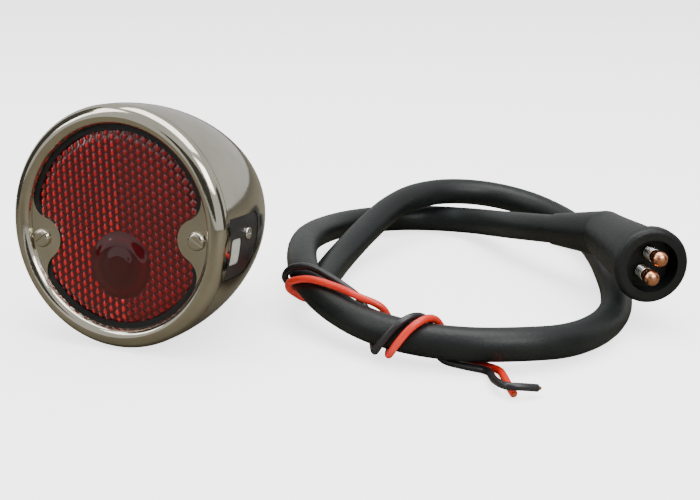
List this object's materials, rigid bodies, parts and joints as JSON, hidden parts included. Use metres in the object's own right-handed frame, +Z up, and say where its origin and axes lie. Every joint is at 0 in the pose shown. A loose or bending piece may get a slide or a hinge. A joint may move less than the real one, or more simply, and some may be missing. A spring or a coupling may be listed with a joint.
{
  "type": "motorcycle tail light",
  "caption": "Round bowl-backed tail lamp with a ruby prism lens, side number-plate window, bayonet bulb and a loose two-contact plug lead.",
  "frame": {"origin": "bottom centre of the lamp's box, without its lead", "axes": "+Y from the lens towards the back of the lamp, +Z up as the lamp lies on its side"},
  "size_m": [0.2705, 0.2696, 0.1043],
  "materials": {
    "nickel": "polished",
    "steel": "satin",
    "red_glass": "clear",
    "clear_glass": "clear",
    "rubber": "matte",
    "brass": "satin",
    "fibre": "matte",
    "black_paint": "satin",
    "copper": "polished",
    "reflective": "polished",
    "tungsten": "matte",
    "red_rubber": "satin",
    "black_rubber": "satin",
    "loom_rubber": "matte"
  },
  "bodies": {
    "lamp": {"drum": "nickel", "bezel": "nickel", "gasket": "rubber", "lens": "red_glass", "bezel_screws": "nickel", "bezel_lugs": "steel", "lug_nuts": "steel", "reflector": "reflective", "socket_shell": "brass", "socket_rivets": "steel", "socket_spring": "steel", "socket_insulator": "fibre", "socket_terminals": "brass", "window_frame": "black_paint", "window_glass": "clear_glass", "window_screw": "nickel", "window_clip": "steel", "mount_studs": "steel", "mount_pad": "rubber", "plug_boot": "rubber", "plug_plate": "rubber", "contact_spring_a": "steel", "contact_spring_b": "steel", "loom": "loom_rubber", "wire_cores": "copper", "wire_red": "red_rubber", "wire_black": "black_rubber"},
    "bulb": {"bulb_base": "brass", "bulb_glass": "clear_glass", "bulb_filaments": "tungsten"},
    "plunger": {"contact_disc": "fibre", "disc_contacts": "brass"},
    "contact_a": {"contact_a": "copper"},
    "contact_b": {"contact_b": "copper"}
  },
  "joints": [
    {"name": "bulb_push", "type": "slide", "parent": "lamp", "child": "plunger", "axis": [0, 0.9963, -0.0854], "range_m": [0, 0.002], "stiffness_N_per_m": 900, "springref_m": -0.004, "deforming": ["socket_spring"]},
    {"name": "bulb_turn", "type": "hinge", "parent": "plunger", "child": "bulb", "pos_m": [0.00136, 0.00655, 0.03193], "axis": [0, 0.9963, -0.0854], "range_deg": [0, 20]},
    {"name": "contact_a_push", "type": "slide", "parent": "lamp", "child": "contact_a", "axis": [-0.549, 0.8358, 0], "range_m": [0, 0.003], "stiffness_N_per_m": 500, "springref_m": -0.003, "deforming": ["contact_spring_a"]},
    {"name": "contact_b_push", "type": "slide", "parent": "lamp", "child": "contact_b", "axis": [-0.549, 0.8358, 0], "range_m": [0, 0.003], "stiffness_N_per_m": 500, "springref_m": -0.003, "deforming": ["contact_spring_b"]}
  ]
}
